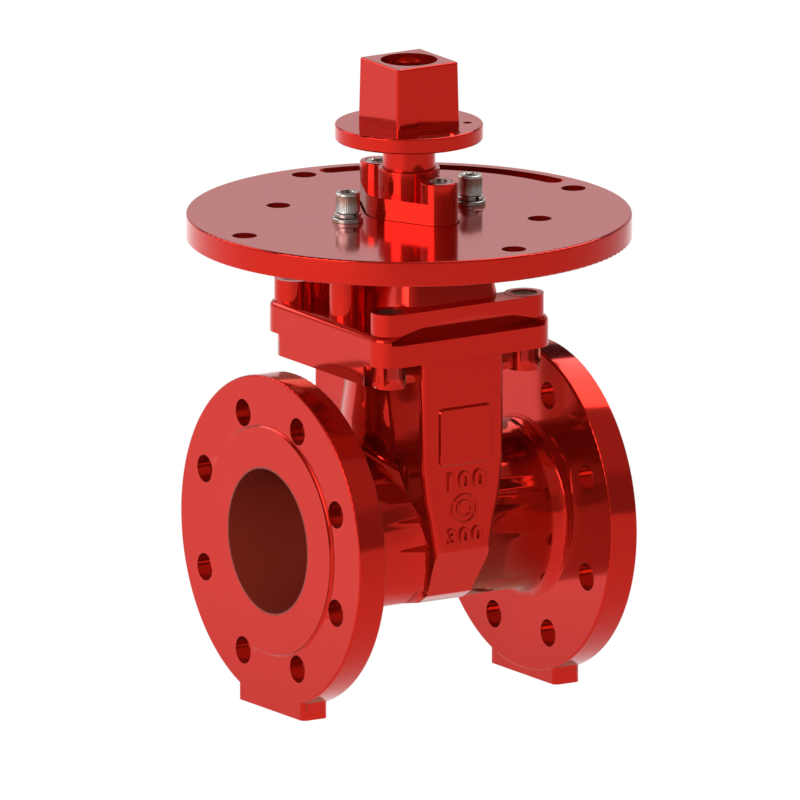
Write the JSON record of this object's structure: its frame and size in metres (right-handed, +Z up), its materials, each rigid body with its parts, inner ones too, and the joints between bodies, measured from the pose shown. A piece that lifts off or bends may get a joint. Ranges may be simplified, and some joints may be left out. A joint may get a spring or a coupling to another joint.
{
  "type": "gate valve",
  "caption": "Flanged gate valve with a non-rising stem, square operating nut and round flange plate for an indicator post.",
  "frame": {"origin": "centre of the plan at the level of the feet", "axes": "+Z up along the stem, +X along the pipe towards the outlet flange, +Y across the pipe towards the back panel"},
  "size_m": [0.3048, 0.3048, 0.4418],
  "materials": {
    "red_enamel": "gloss",
    "zinc_steel": "satin",
    "stainless_steel": "satin",
    "black_rubber": "matte",
    "nylon": "satin",
    "black_wax": "satin",
    "ductile_iron": "matte",
    "bronze": "satin"
  },
  "bodies": {
    "valve": {"valve_body": "red_enamel", "bonnet": "red_enamel", "bonnet_gasket": "black_rubber", "bonnet_bolts": "zinc_steel", "bolt_head_plugs": "black_wax", "post_flange_plate": "red_enamel", "plate_screws": "zinc_steel", "plate_spring_washers": "zinc_steel", "plate_washers": "zinc_steel", "gland": "red_enamel", "gland_screws": "zinc_steel", "gland_seal_ring": "black_rubber", "stem_seal_rings": "black_rubber", "wiper_ring": "black_rubber", "lower_thrust_washer": "nylon", "upper_thrust_washer": "nylon"},
    "stem": {"stem": "stainless_steel", "operating_nut": "red_enamel", "nut_washer": "zinc_steel", "nut_bolt": "zinc_steel"},
    "wedge": {"wedge_core": "ductile_iron", "wedge_rubber": "black_rubber", "wedge_nut": "bronze", "guide_shoes": "nylon"}
  },
  "joints": [
    {"name": "stem_turn", "type": "hinge", "parent": "valve", "child": "stem", "pos_m": [0, 0, 0.3], "axis": [0, 0, 1], "range_deg": [0, 5040]},
    {"name": "wedge_lift", "type": "slide", "parent": "valve", "child": "wedge", "axis": [0, 0, 1], "range_m": [0, 0.105]}
  ],
  "couplings": [
    {"joint": "wedge_lift", "follows": "stem_turn", "m_per_rad": 0.0011936}
  ]
}
